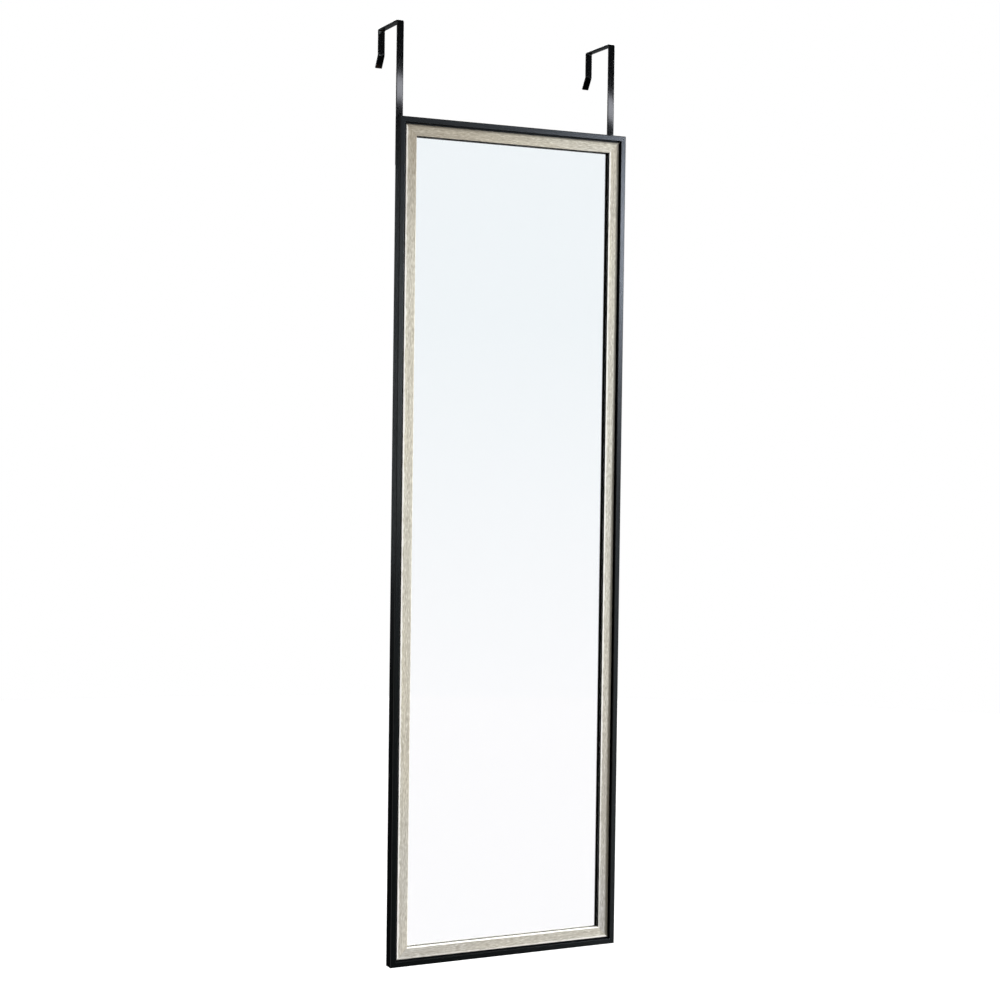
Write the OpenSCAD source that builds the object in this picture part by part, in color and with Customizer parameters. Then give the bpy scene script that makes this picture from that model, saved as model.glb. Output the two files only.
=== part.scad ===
// Over-the-door mirror: a tall mitred frame with a black outer moulding and a pale
// wood-look trim, hung from two bent flat straps that hook over the top of a door.
//
// The origin is where the door's front face meets its top: the front of the door is the
// plane y = 0, its top is z = 0, and the mirror faces -Y. A frame section is drawn in two
// sizes: u, inward from the frame's outer edge, and v, backward from the front of the lip.

/* [Frame] */
// Height of the frame, outer edge to outer edge
frame_h = 1220; // [700:5:1800]
// Width of the frame, outer edge to outer edge
frame_w = 366; // [260:1:700]

/* [Black moulding] */
// Width of the flat lip that runs round the front
lip_w = 8; // [6:0.5:20]
// How far the lip stands in front of the trim
lip_proud = 3; // [1:0.5:8]
// Rounding of the lip's outer front edge
lip_round = 1.2; // [0.4:0.2:2.4]
// Rounding of the lip's inner front edge
lip_ease = 0.6; // [0.2:0.2:1.6]
// Rounding of the moulding's outer back edge
back_ease = 0.8; // [0.2:0.2:2]

/* [Wood-look trim] */
// Dark groove between the lip and the trim's face
groove_w = 2; // [1:0.5:5]
// Depth of that groove below the trim's face
groove_d = 2.5; // [2:0.5:3]
// Width of the trim's face
trim_w = 17; // [14:0.5:40]
// Thickness of the trim
trim_t = 4.5; // [4:0.5:10]
// Rounding of the trim's shoulder beside the groove
shoulder_r = 1.4; // [0.4:0.2:2]
// Bevel along the trim's inner edge
bevel = 0.8; // [0.3:0.1:2]
// Gap between the trim's side and the lip
trim_fit = 0.1; // [0.05:0.05:0.4]

/* [Mirror pack] */
// How far the trim laps over the glass
glass_lap = 6; // [4:0.5:8]
// Thickness of the glass
glass_t = 3; // [2:0.5:5]
// Thickness of the silver coat and its paint, on the back of the glass
silvering_t = 0.1; // [0.05:0.05:0.3]
// Thickness of the padding sheet
padding_t = 1; // [0.5:0.5:3]
// Thickness of the backing board
board_t = 3; // [2:0.5:6]
// Depth of the board's back below the back of the frame
back_recess = 3.4; // [1.5:0.1:6]
// Play round the edges of the glass, the padding and the board
pack_play = 0.5; // [0.2:0.1:1.5]

/* [Framer's points] */
// Width of a point
point_w = 9; // [5:1:14]
// How far a point reaches over the board
point_reach = 10; // [6:1:16]
// How far a point is driven into the moulding
point_bite = 5; // [3:0.5:6]
// Thickness of a point
point_t = 0.6; // [0.4:0.1:1]
// Greatest spacing between points
point_pitch = 220; // [120:5:400]
// From the rabbet's corner to the first point
point_end = 45; // [25:5:70]

/* [Corner nails] */
// Length of each leg of a V-nail
nail_leg = 5; // [3:0.5:6]
// Height of a V-nail
nail_h = 7; // [4:0.5:7]
// Thickness of a V-nail
nail_t = 0.6; // [0.4:0.1:1]
// From the frame's corner to the first V-nail, along each edge
nail_first = 4; // [3:0.5:5]
// From one V-nail to the next, along each edge
nail_pitch = 8; // [7:0.5:9]
// How far a V-nail is sunk below the back of the frame
nail_sunk = 0.3; // [0.1:0.1:0.5]

/* [Door hooks] */
// Gap between the legs of a hook
door_gap = 70; // [36:1:90]
// From the top of the frame up to the top of the door
hook_rise = 137; // [40:1:220]
// Width of the strap
strap_w = 11; // [8:0.5:14]
// Thickness of the strap
strap_t = 2.5; // [2:0.5:4]
// Inner radius of the two bends over the door
bend_r = 1.2; // [0.6:0.2:4]
// From the top of the door down to the crease of the back leg
back_drop = 36; // [20:1:80]
// Length of the flared tip
tip_l = 20; // [8:1:40]
// Angle between the flared tip and the door
tip_angle = 33; // [10:1:55]
// Inner radius of the crease above the tip
crease_r = 2; // [1:0.5:6]
// Distance of the straps from the sides of the frame
hook_inset = 6; // [5.5:0.5:7]
// How far the pair of straps sits to the left of centre
hook_shift = 5.5; // [0:0.5:5.5]

/* [Hook screws] */
// Diameter of a screw
screw_d = 3.5; // [2.5:0.5:4.5]
// Diameter of a screw's head
head_d = 6.8; // [5.5:0.2:7.4]
// How far a screw goes into the frame
screw_bite = 7; // [4:0.5:7]
// From the frame's top edge down to the upper screw
screw_drop = 26; // [25:1:60]
// From the upper screw to the lower one
screw_gap = 30; // [14:1:60]
// Strap below the lower screw
tail_end = 12; // [8:1:30]

/* [Bumper pads] */
// Diameter of a pad
pad_d = 14; // [8:1:16]
// From the frame's edges to the middle of a pad
pad_inset = 10.5; // [9:0.5:14]
// Rounding of a pad's face
pad_round = 1.2; // [0.4:0.2:1.4]

/* [Hidden] */
$fn = 48;

// Clearance of a cut round the fastener that sits in it
cut_fit = 0.1;
// Clearance of a screw's hole in the strap
hole_fit = 0.3;
// Overrun of a cut past the face that it opens
past = 1;
// Steps round each bend of a strap
bend_steps = 8;
// Side of the cross recess in a screw's head, its width and its depth
cross_l = 3.2;
cross_w = 0.8;
cross_deep = 1;

// Levels across the section, from the front of the lip
face_v = lip_proud;
seat_v = face_v + trim_t;
silvering_v = seat_v + glass_t;
padding_v = silvering_v + silvering_t;
board_v = padding_v + padding_t;
board_back_v = board_v + board_t;
frame_t = board_back_v + back_recess;

// Widths across the section, from the outer edge
face_u = lip_w + groove_w;
inner_u = face_u + trim_w;
rabbet_u = inner_u - glass_lap;
pack_u = rabbet_u + pack_play;

// Places in the part's frame
front_y = -(strap_t + frame_t);
middle_z = -(hook_rise + frame_h / 2);
tail_l = screw_drop + screw_gap + tail_end;
tail_z = -(hook_rise + tail_l);
left_x = -frame_w / 2 + hook_inset + strap_w / 2 - hook_shift;
right_x = frame_w / 2 - hook_inset - strap_w / 2 - hook_shift;
screw_drops = [screw_drop, screw_drop + screw_gap];

// The four sides: the turn from the top of the frame, and the outer length of the side
TOP = 0;
RIGHT = 90;
BOTTOM = 180;
LEFT = 270;
SIDES = [TOP, RIGHT, BOTTOM, LEFT];
function upright(side) = side == RIGHT || side == LEFT;
function side_l(side) = upright(side) ? frame_h : frame_w;
function side_out(side) = upright(side) ? frame_w / 2 : frame_h / 2;

// Points along a side: how many, and how far apart
function point_run(side) = side_l(side) - 2 * (rabbet_u + point_end);
function point_count(side) = ceil(point_run(side) / point_pitch) + 1;
function point_x(side, i) = point_run(side) * (i / (point_count(side) - 1) - 0.5);

black = [0.11, 0.12, 0.12];
pale_wood = [0.80, 0.77, 0.70];
clear_glass = [0.80, 0.90, 0.87];
silver = [0.88, 0.94, 0.96];
hardboard = [0.55, 0.40, 0.26];
steel = [0.62, 0.63, 0.64];
white_foam = [0.94, 0.94, 0.92];
grey_rubber = [0.30, 0.30, 0.31];

// ---- Helpers ----

// Puts a side's pieces in place: they are drawn with the outer edge along X at z = 0
module on_side(side) {
  translate([0, front_y, middle_z])
    rotate([0, side, 0])
      translate([0, 0, side_out(side)])
        children();
}

// A flat plate from the outline in the X-Z plane, from level v to v + thick
module plate(v, thick) {
  translate([0, v + thick, 0])
    rotate([90, 0, 0])
      linear_extrude(thick)
        children();
}

// A length of moulding with the section drawn in u and v, mitred at both ends
module mitred(length) {
  deep = inner_u + past;
  intersection() {
    translate([-length / 2, 0, 0])
      rotate([0, 90, 0])
        linear_extrude(length)
          children();
    plate(-past, frame_t + 2 * past)
      polygon([
        [-length / 2 - past, past],
        [length / 2 + past, past],
        [length / 2 - deep, -deep],
        [-length / 2 + deep, -deep]
      ]);
  }
}

// The waste outside a rounded corner at the origin, whose sides run along +X and +Y
module corner_waste(r) {
  difference() {
    translate([-past, -past])
      square(r + past);
    translate([r, r])
      circle(r);
  }
}

// ---- Black moulding ----

// A tall lip at the outer edge and a land behind the trim, with the rabbet inside it
module moulding_section() {
  difference() {
    union() {
      square([lip_w, frame_t]);
      translate([0, seat_v])
        square([rabbet_u, frame_t - seat_v]);
    }
    corner_waste(lip_round);
    translate([lip_w, 0])
      mirror([1, 0])
        corner_waste(lip_ease);
    translate([0, frame_t])
      mirror([0, 1])
        corner_waste(back_ease);
  }
}

module moulding(side) {
  color(black)
    difference() {
      on_side(side)
        mitred(side_l(side))
          moulding_section();
      on_side(side)
        side_points(side, cut_fit);
      corner_nails(cut_fit, past);
      screw_pilots();
    }
}

module top_rail() {
  moulding(TOP);
}

module bottom_rail() {
  moulding(BOTTOM);
}

module left_stile() {
  moulding(LEFT);
}

module right_stile() {
  moulding(RIGHT);
}

// ---- Wood-look trim ----

// Seated on the land beside the lip, stepped down for the groove, with a rounded
// shoulder outside and a bevel inside
module trim_section() {
  difference() {
    translate([lip_w + trim_fit, face_v])
      square([inner_u - lip_w - trim_fit, trim_t]);
    translate([lip_w - past, face_v - past])
      square([groove_w + past, groove_d + past]);
    translate([face_u, face_v])
      corner_waste(shoulder_r);
    polygon([
      [inner_u - bevel, face_v - past],
      [inner_u - bevel, face_v],
      [inner_u, face_v + bevel],
      [inner_u + past, face_v + bevel],
      [inner_u + past, face_v - past]
    ]);
  }
}

module trim(side) {
  color(pale_wood)
    on_side(side)
      mitred(side_l(side))
        trim_section();
}

module trim_top() {
  trim(TOP);
}

module trim_bottom() {
  trim(BOTTOM);
}

module trim_left() {
  trim(LEFT);
}

module trim_right() {
  trim(RIGHT);
}

// ---- Mirror pack ----

// A sheet that fills the rabbet with play all round
module pack_sheet(v, thick) {
  translate([0, front_y, middle_z])
    plate(v, thick)
      square([frame_w - 2 * pack_u, frame_h - 2 * pack_u], center = true);
}

module mirror_glass() {
  color(clear_glass)
    pack_sheet(seat_v, glass_t);
}

module silvering() {
  color(silver)
    pack_sheet(silvering_v, silvering_t);
}

module padding_sheet() {
  color(white_foam)
    pack_sheet(padding_v, padding_t);
}

module backing_board() {
  color(hardboard)
    pack_sheet(board_v, board_t);
}

// ---- Framer's points ----

// One point, flat on the back of the board, its tip driven into the rabbet's wall
module framers_point(grow) {
  half = point_w / 2 + grow;
  plate(board_back_v - grow, point_t + 2 * grow)
    polygon([
      [-half, -rabbet_u - point_reach],
      [half, -rabbet_u - point_reach],
      [half, -rabbet_u],
      [0, -rabbet_u + point_bite + grow],
      [-half, -rabbet_u]
    ]);
}

module side_points(side, grow = 0) {
  for (i = [0 : point_count(side) - 1])
    translate([point_x(side, i), 0, 0])
      framers_point(grow);
}

module framers_points() {
  color(steel)
    for (side = SIDES)
      on_side(side)
        side_points(side);
}

// ---- Corner V-nails ----

// One nail across a mitre, with a leg in each length of moulding
module v_nail(from_corner, grow, open) {
  long = nail_leg + 2 * grow;
  thin = nail_t + 2 * grow;
  plate(frame_t - nail_sunk - nail_h - grow, nail_h + grow + open)
    union() {
      translate([-from_corner - nail_leg - grow, -from_corner - nail_t - grow])
        square([long, thin]);
      translate([-from_corner - nail_t - grow, -from_corner - nail_leg - grow])
        square([thin, long]);
    }
}

// Two nails in each corner of the frame; open runs a nail's pocket out of the back
module corner_nails(grow = 0, open = 0) {
  for (side = SIDES)
    on_side(side)
      for (k = [0, 1])
        translate([side_l(side) / 2, 0, 0])
          v_nail(nail_first + k * nail_pitch, grow, open);
}

module corner_v_nails() {
  color(steel)
    corner_nails();
}

// ---- Door hooks ----

// Unit vectors along a heading, and to the left of it
function ahead(a) = [cos(a), sin(a)];
function left_of(a) = [-sin(a), cos(a)];

// The strap seen from its side, as stations [point, heading] along its door-side face.
// Each leg is [length, turn, inner radius of the bend after it], and a turn above 0 bends
// towards the door.
function stations(legs, p, a, i = 0) =
  let (
    run = legs[i][0],
    turn = legs[i][1],
    r = turn > 0 ? legs[i][2] : -(legs[i][2] + strap_t),
    q = p + run * ahead(a),
    c = q - r * left_of(a),
    bend = [for (k = [1 : bend_steps - 1]) let (b = a - turn * k / bend_steps) [c + r * left_of(b), b]]
  )
  i == len(legs) - 1
    ? [[p, a], [q, a]]
    : concat([[p, a], [q, a]], bend, stations(legs, c + r * left_of(a - turn), a - turn, i + 1));

// The outline of the strap: out along the door-side face, and back along the outer one
function strap_outline(path) =
  let (n = len(path) - 1)
  concat(
    [for (s = path) s[0]],
    [for (i = [0 : n]) path[n - i][0] + strap_t * left_of(path[n - i][1])]
  );

// One hook, with its middle at x = 0: up behind the frame, over the door and down its
// back, and out again at the tip, with countersunk holes for the two screws
module hook() {
  crease = (crease_r + strap_t) * tan(tip_angle / 2);
  legs = [
    [-tail_z - bend_r, 90, bend_r],
    [door_gap - 2 * bend_r, 90, bend_r],
    [back_drop - bend_r - crease, -tip_angle, crease_r],
    [tip_l - crease, 0, 0]
  ];
  color(black)
    difference() {
      translate([-strap_w / 2, 0, 0])
        rotate([90, 0, 90])
          linear_extrude(strap_w)
            polygon(strap_outline(stations(legs, [0, tail_z], 90)));
      for (drop = screw_drops)
        translate([0, 0, -hook_rise - drop])
          screw_shape(hole_fit / 2, strap_t + past, past);
    }
}

module left_hook() {
  translate([left_x, 0, 0])
    hook();
}

module right_hook() {
  translate([right_x, 0, 0])
    hook();
}

// ---- Hook screws ----

// A countersunk screw along -Y, with its head flush with y = 0; open runs the cone on
// past the strap's back, for the cut that takes it
module screw_shape(grow, length, open) {
  shank_r = screw_d / 2 + grow;
  head_r = head_d / 2 + grow;
  rotate([90, 0, 0])
    rotate_extrude()
      polygon([
        [0, -open],
        [head_r + open, -open],
        [shank_r, head_r - shank_r],
        [shank_r, length],
        [0, length]
      ]);
}

module on_screws() {
  for (x = [left_x, right_x], drop = screw_drops)
    translate([x, 0, -hook_rise - drop])
      children();
}

// Holes in the frame behind the straps
module screw_pilots() {
  on_screws()
    translate([0, -strap_t - screw_bite - cut_fit, 0])
      rotate([-90, 0, 0])
        cylinder(h = screw_bite + cut_fit + past, r = screw_d / 2 + cut_fit);
}

module hook_screws() {
  color(steel)
    on_screws()
      difference() {
        screw_shape(0, strap_t + screw_bite, 0);
        cube([cross_l, 2 * cross_deep, cross_w], center = true);
        cube([cross_w, 2 * cross_deep, cross_l], center = true);
      }
}

// ---- Bumper pads ----

// Round pads at the bottom corners, as thick as the straps, so the frame hangs parallel
// to the door
module bumper_pads() {
  color(grey_rubber)
    for (s = [-1, 1])
      translate([s * (frame_w / 2 - pad_inset), -strap_t, middle_z - frame_h / 2 + pad_inset])
        rotate([-90, 0, 0])
          rotate_extrude()
            intersection() {
              square([pad_d / 2, strap_t]);
              union() {
                square([pad_d / 2 - pad_round, strap_t]);
                square([pad_d / 2, strap_t - pad_round]);
                translate([pad_d / 2 - pad_round, strap_t - pad_round])
                  circle(pad_round);
              }
            }
}

top_rail();
bottom_rail();
left_stile();
right_stile();
trim_top();
trim_bottom();
trim_left();
trim_right();
mirror_glass();
silvering();
padding_sheet();
backing_board();
framers_points();
corner_v_nails();
left_hook();
right_hook();
hook_screws();
bumper_pads();
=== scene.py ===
# %% [markdown]
# # An over-the-door mirror
# A tall mirror in a mitred frame hangs from two flat steel straps that hook over the top
# of a door. The frame is black outside, with a pale wood-look trim next to the glass.
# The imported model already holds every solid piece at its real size. This lesson gives each
# piece its finish, grinds the glass, softens the straps' edges, and sets up the camera and
# the studio.

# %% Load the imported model
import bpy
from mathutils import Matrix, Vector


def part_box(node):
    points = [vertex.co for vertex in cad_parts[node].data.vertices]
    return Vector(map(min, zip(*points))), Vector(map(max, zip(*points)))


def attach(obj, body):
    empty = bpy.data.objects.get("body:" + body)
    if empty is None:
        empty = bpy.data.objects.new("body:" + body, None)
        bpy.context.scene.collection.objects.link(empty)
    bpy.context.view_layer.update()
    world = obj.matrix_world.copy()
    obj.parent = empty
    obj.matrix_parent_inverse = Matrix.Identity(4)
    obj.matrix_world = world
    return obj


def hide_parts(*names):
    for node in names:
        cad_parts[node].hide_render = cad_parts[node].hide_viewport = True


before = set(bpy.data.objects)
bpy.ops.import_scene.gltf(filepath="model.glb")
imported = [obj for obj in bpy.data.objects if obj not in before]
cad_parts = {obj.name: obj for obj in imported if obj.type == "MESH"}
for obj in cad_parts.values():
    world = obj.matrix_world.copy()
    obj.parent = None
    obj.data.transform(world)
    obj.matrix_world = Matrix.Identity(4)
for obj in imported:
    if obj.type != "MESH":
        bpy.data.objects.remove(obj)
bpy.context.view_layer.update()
print("pieces:", ", ".join(sorted(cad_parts)))

# %% [markdown]
# ## Where things are on the frame
# A frame-maker measures a moulding across its section: so far in from the outer edge, and
# so deep from the front. The finishes below are laid out in the same way. The places are
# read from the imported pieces, so a finish stays where its piece is.

# %% Measure the frame
import bpy
import bmesh
from math import cos, pi, radians, sin
from mathutils import Matrix, Vector

MM = 0.001
frame_low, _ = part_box("bottom_rail")
_, frame_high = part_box("top_rail")
trim_low, trim_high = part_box("trim_top")
front_y = frame_low.y
half_width = (frame_high.x - frame_low.x) / 2
half_height = (frame_high.z - frame_low.z) / 2
middle_z = (frame_high.z + frame_low.z) / 2
trim_face = trim_low.y - front_y
trim_start = frame_high.z - trim_high.z
trim_end = frame_high.z - trim_low.z
GROOVE = 2 * MM
groove_end = trim_start + GROOVE
print(f"frame {2 * half_width:.3f} x {2 * half_height:.3f} m, trim from "
      f"{trim_start / MM:.1f} to {trim_end / MM:.1f} mm in, {trim_face / MM:.1f} mm deep")

# %% [markdown]
# ## Helpers for node trees
# A procedural finish is a small network of nodes. Placing each node by hand takes four or
# five lines of code, so a few helpers keep it readable. The first ones add a node, feed
# its sockets and do sums. A value that goes in may be a number or another node's socket.

# %% Helpers that place nodes
def feed(tree, socket, value):
    """Links a socket to another one, or gives it a fixed value."""
    if isinstance(value, bpy.types.NodeSocket):
        tree.links.new(value, socket)
    else:
        socket.default_value = value


def add(tree, kind, options=None, **sockets):
    """Adds a node, sets its options and feeds the named sockets."""
    node = tree.nodes.new("ShaderNode" + kind)
    for name, value in (options or {}).items():
        setattr(node, name, value)
    for name, value in sockets.items():
        feed(tree, node.inputs[name.replace("_", " ")], value)
    return node


def maths(tree, operation, *values):
    """One sum on one, two or three values."""
    node = add(tree, "Math", {"operation": operation})
    for socket, value in zip(node.inputs, values):
        feed(tree, socket, value)
    return node.outputs[0]


def product(tree, value, *others):
    """Two or more values multiplied together."""
    for other in others:
        value = maths(tree, "MULTIPLY", value, other)
    return value


def choose(tree, mask, first, second):
    """The first value where the mask is 0, and the second where it is 1."""
    node = add(tree, "Mix", Factor=mask)
    # these of a Mix node's sockets are the ones for plain numbers
    first_socket, second_socket = 2, 3
    feed(tree, node.inputs[first_socket], first)
    feed(tree, node.inputs[second_socket], second)
    return node.outputs[0]


print("sums of nodes are built by:", ", ".join(f.__name__ for f in (maths, product, choose)))


# %% [markdown]
# ### Ranges and colours
# Most of a finish is masks: a value is stretched until it is 0 where nothing should happen
# and 1 where all of it should, and two colours are mixed by it. Most colours are given as
# they look on a screen, and turned into the linear values that the renderer works in.

# %% Helpers for ranges and colours
def remap(tree, value, low, high, to_low=0.0, to_high=1.0, smooth=False):
    """Stretches a value from one range to another, and holds it there."""
    style = "SMOOTHSTEP" if smooth else "LINEAR"
    node = add(tree, "MapRange", {"interpolation_type": style}, Value=value,
               From_Min=low, From_Max=high, To_Min=to_low, To_Max=to_high)
    return node.outputs[0]


def mix_colours(tree, share, first, second, way="MIX"):
    """The first colour, turned into the second one by the share."""
    node = add(tree, "Mix", {"data_type": "RGBA", "blend_type": way})
    # a Mix node keeps sockets for every kind of data, and these are the ones for colours
    share_socket, first_socket, second_socket, result = 0, 6, 7, 2
    feed(tree, node.inputs[share_socket], share)
    feed(tree, node.inputs[first_socket], first)
    feed(tree, node.inputs[second_socket], second)
    return node.outputs[result]


def colour(red, green, blue):
    """A screen colour from 0 to 255 as a linear one."""
    parts = [part / 255 for part in (red, green, blue)]
    return (*[p / 12.92 if p <= 0.04045 else ((p + 0.055) / 1.055) ** 2.4 for p in parts], 1.0)


print("mid grey 188 is", round(colour(188, 188, 188)[0], 3), "in linear light")


# %% [markdown]
# ## Effects that several finishes share
# Some effects turn up on more than one piece: long grain on both foils, worn edges on the
# moulding and the straps, painted highlights along the trim's edges, small specks in paint
# and rubber. Each is a node group, built once, and every finish that uses it gives it its own
# sizes. A group hands back only masks and measures. The shaders stay in the finishes themselves.

# %% A helper that opens a group
def new_group(name, inputs, outputs):
    """An empty group with its sockets, given as each socket's name and its kind."""
    tree = bpy.data.node_groups.new(name, "ShaderNodeTree")
    for way, sockets in (("INPUT", inputs), ("OUTPUT", outputs)):
        for label, kind in sockets.items():
            tree.interface.new_socket(label, in_out=way, socket_type="NodeSocket" + kind)
    given = tree.nodes.new("NodeGroupInput").outputs
    made = tree.nodes.new("NodeGroupOutput").inputs
    return tree, given, made


def use_group(tree, group, **sockets):
    """Places a group in a finish and returns its outputs."""
    node = add(tree, "Group", {"node_tree": group})
    for name, value in sockets.items():
        feed(tree, node.inputs[name.replace("_", " ")], value)
    return node.outputs


print("a group is opened by", new_group.__name__, "and placed by", use_group.__name__)


# %% [markdown]
# ### The frame's section
# Foil runs along a moulding, so its grain turns through a right angle at each mitre. This
# group works out, for any point, how far in it lies from the frame's nearest outer edge,
# how deep, how far along its own length, and how far from the mitre. Each of the four
# lengths gets its own number, which shifts the pattern as if the foil came from another
# part of the roll. The number also lets a finish treat one length apart from the others.

# %% Build the section group
LEFT_LENGTH, RIGHT_LENGTH, BOTTOM_LENGTH, TOP_LENGTH = 0.0, 1.0, 2.0, 3.0
ROLL_SHIFT = 3.0
MITRE_ANGLE = radians(45)


def build_section_group():
    tree, given, made = new_group(
        "frame_section",
        {"Position": "Vector"},
        {"Across": "Float", "Depth": "Float", "Along": "Float", "From Mitre": "Float",
         "Length Number": "Float"})
    x, y, z = add(tree, "SeparateXYZ", Vector=given["Position"]).outputs
    height = maths(tree, "SUBTRACT", z, middle_z)
    from_side = maths(tree, "SUBTRACT", half_width, maths(tree, "ABSOLUTE", x))
    from_end = maths(tree, "SUBTRACT", half_height, maths(tree, "ABSOLUTE", height))
    on_stile = maths(tree, "LESS_THAN", from_side, from_end)
    stile = maths(tree, "GREATER_THAN", x, 0.0)
    rail = maths(tree, "ADD", maths(tree, "GREATER_THAN", height, 0.0), BOTTOM_LENGTH)
    number = choose(tree, on_stile, rail, stile)
    along = choose(tree, on_stile, x, height)
    roll = product(tree, number, ROLL_SHIFT)
    gap = maths(tree, "ABSOLUTE", maths(tree, "SUBTRACT", from_side, from_end))
    feed(tree, made["Across"], maths(tree, "MINIMUM", from_side, from_end))
    feed(tree, made["Depth"], maths(tree, "SUBTRACT", y, front_y))
    feed(tree, made["Along"], maths(tree, "ADD", along, roll))
    feed(tree, made["From Mitre"], product(tree, gap, sin(MITRE_ANGLE)))
    feed(tree, made["Length Number"], number)
    return tree


def is_length(tree, number, length):
    """A mask that is 1 on one of the four lengths."""
    return maths(tree, "COMPARE", number, length, 0.5)


def mitre_hairline(tree, section, width):
    """A mask for the fine dark line where two lengths meet."""
    return remap(tree, section["From Mitre"], 0.05 * MM, width, 1.0, 0.0, smooth=True)


section_group = build_section_group()
print(section_group.name, "has", len(section_group.nodes), "nodes")


# %% [markdown]
# ### Long grain
# Wood grain, real or printed, is noise that is stretched along the length: a streak may
# be fifty times as long as it is wide. The group divides the two directions by the
# streak's own length and width, and lets the lines wander a little so that they don't
# look ruled.

# %% Build the grain group
def build_grain_group():
    tree, given, made = new_group(
        "long_grain",
        {"Along": "Float", "Across": "Float", "Streak Length": "Float",
         "Streak Width": "Float", "Wander": "Float", "Layer": "Float"},
        {"Streaks": "Float"})
    stretch = product(tree, given["Streak Length"], 1.6)
    slow = maths(tree, "DIVIDE", given["Along"], stretch)
    drift_at = add(tree, "CombineXYZ", X=slow, Y=given["Layer"]).outputs[0]
    drift = add(tree, "TexNoise", Vector=drift_at, Scale=1.0, Detail=1.0).outputs[0]
    swing = product(tree, maths(tree, "SUBTRACT", drift, 0.5), given["Wander"])
    line = maths(tree, "ADD", given["Across"], swing)
    at = add(tree, "CombineXYZ",
             X=maths(tree, "DIVIDE", given["Along"], given["Streak Length"]),
             Y=maths(tree, "DIVIDE", line, given["Streak Width"]),
             Z=given["Layer"]).outputs[0]
    noise = add(tree, "TexNoise", Vector=at, Scale=1.0, Detail=3.0, Roughness=0.55)
    feed(tree, made["Streaks"], noise.outputs[0])
    return tree


grain_group = build_grain_group()
print(grain_group.name, "has", len(grain_group.nodes), "nodes")


# %% [markdown]
# ### Edge wear, painted edge highlights and specks
# Hands and packaging rub the finish thin along an edge, but never evenly. The edge group
# takes the distance to an edge and breaks up how far its mask reaches: worn edges on the
# moulding and the straps, painted highlights on the trim. The speck group scatters small round
# specks: dust under paint, or the tiny pits of a moulded surface.

# %% Build the edge and speck groups
def build_wear_and_highlight_group():
    tree, given, made = new_group(
        "edge_wear_and_highlight",
        {"Position": "Vector", "Distance": "Float", "Reach": "Float", "Breakup": "Float"},
        {"Mask": "Float"})
    often = maths(tree, "DIVIDE", 1.0, given["Breakup"])
    noise = add(tree, "TexNoise", Vector=given["Position"], Scale=often, Detail=4.0)
    uneven = remap(tree, noise.outputs[0], 0.3, 0.7, 0.35, 1.25)
    reach = product(tree, given["Reach"], uneven)
    far = maths(tree, "DIVIDE", maths(tree, "ABSOLUTE", given["Distance"]), reach)
    feed(tree, made["Mask"], remap(tree, far, 0.25, 1.0, 1.0, 0.0, smooth=True))
    return tree


def build_speck_group():
    tree, given, made = new_group(
        "fine_specks",
        {"Position": "Vector", "Speck Size": "Float", "Cover": "Float"},
        {"Mask": "Float"})
    often = maths(tree, "DIVIDE", 1.0, given["Speck Size"])
    cells = add(tree, "TexVoronoi", Vector=given["Position"], Scale=often)
    pick = add(tree, "SeparateColor", Color=cells.outputs["Color"]).outputs[0]
    chosen = maths(tree, "LESS_THAN", pick, given["Cover"])
    spot = remap(tree, cells.outputs["Distance"], 0.15, 0.45, 1.0, 0.0, smooth=True)
    feed(tree, made["Mask"], product(tree, chosen, spot))
    return tree


wear_and_highlight_group = build_wear_and_highlight_group()
speck_group = build_speck_group()
print(wear_and_highlight_group.name, "and", speck_group.name, "are ready")


# %% [markdown]
# ## A finish and how it gets onto a piece
# Each finish starts as a Principled shader with the numbers that are the same all over
# the surface. Object coordinates are used throughout: every piece has its origin at the
# top edge of the door, so they are plain metres in the part's own frame.

# %% Start a finish
def new_finish(name, **fixed):
    """A material, its tree, its shader and the position socket, with fixed values set."""
    material = bpy.data.materials.new(name)
    material.use_nodes = True
    tree = material.node_tree
    shader = tree.nodes["Principled BSDF"]
    for label, value in fixed.items():
        shader.inputs[label.replace("_", " ")].default_value = value
    position = add(tree, "TexCoord").outputs["Object"]
    return material, tree, shader, position


def bump(tree, shader, height, depth, strength=1.0):
    """Raises the surface by a height mask, as deep as the depth says."""
    node = add(tree, "Bump", Height=height, Distance=depth, Strength=strength)
    feed(tree, shader.inputs["Normal"], node.outputs[0])


def dress(material, *names):
    """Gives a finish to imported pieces."""
    for name in names:
        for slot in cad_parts[name].material_slots:
            slot.material = material
    print(material.name, "->", ", ".join(names))


print("pieces that wait for a finish:", len(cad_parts))


# %% [markdown]
# ## The black moulding
# The outer frame is a satin black moulding. Up close it isn't plain: the skin has a very
# fine texture along each length, the sheen is a little uneven, and the outer edges are
# rubbed a touch greyer. The mitres show as hairlines. All of it is kept faint, because a
# black surface shows its shape by its reflections more than by its colour.

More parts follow.
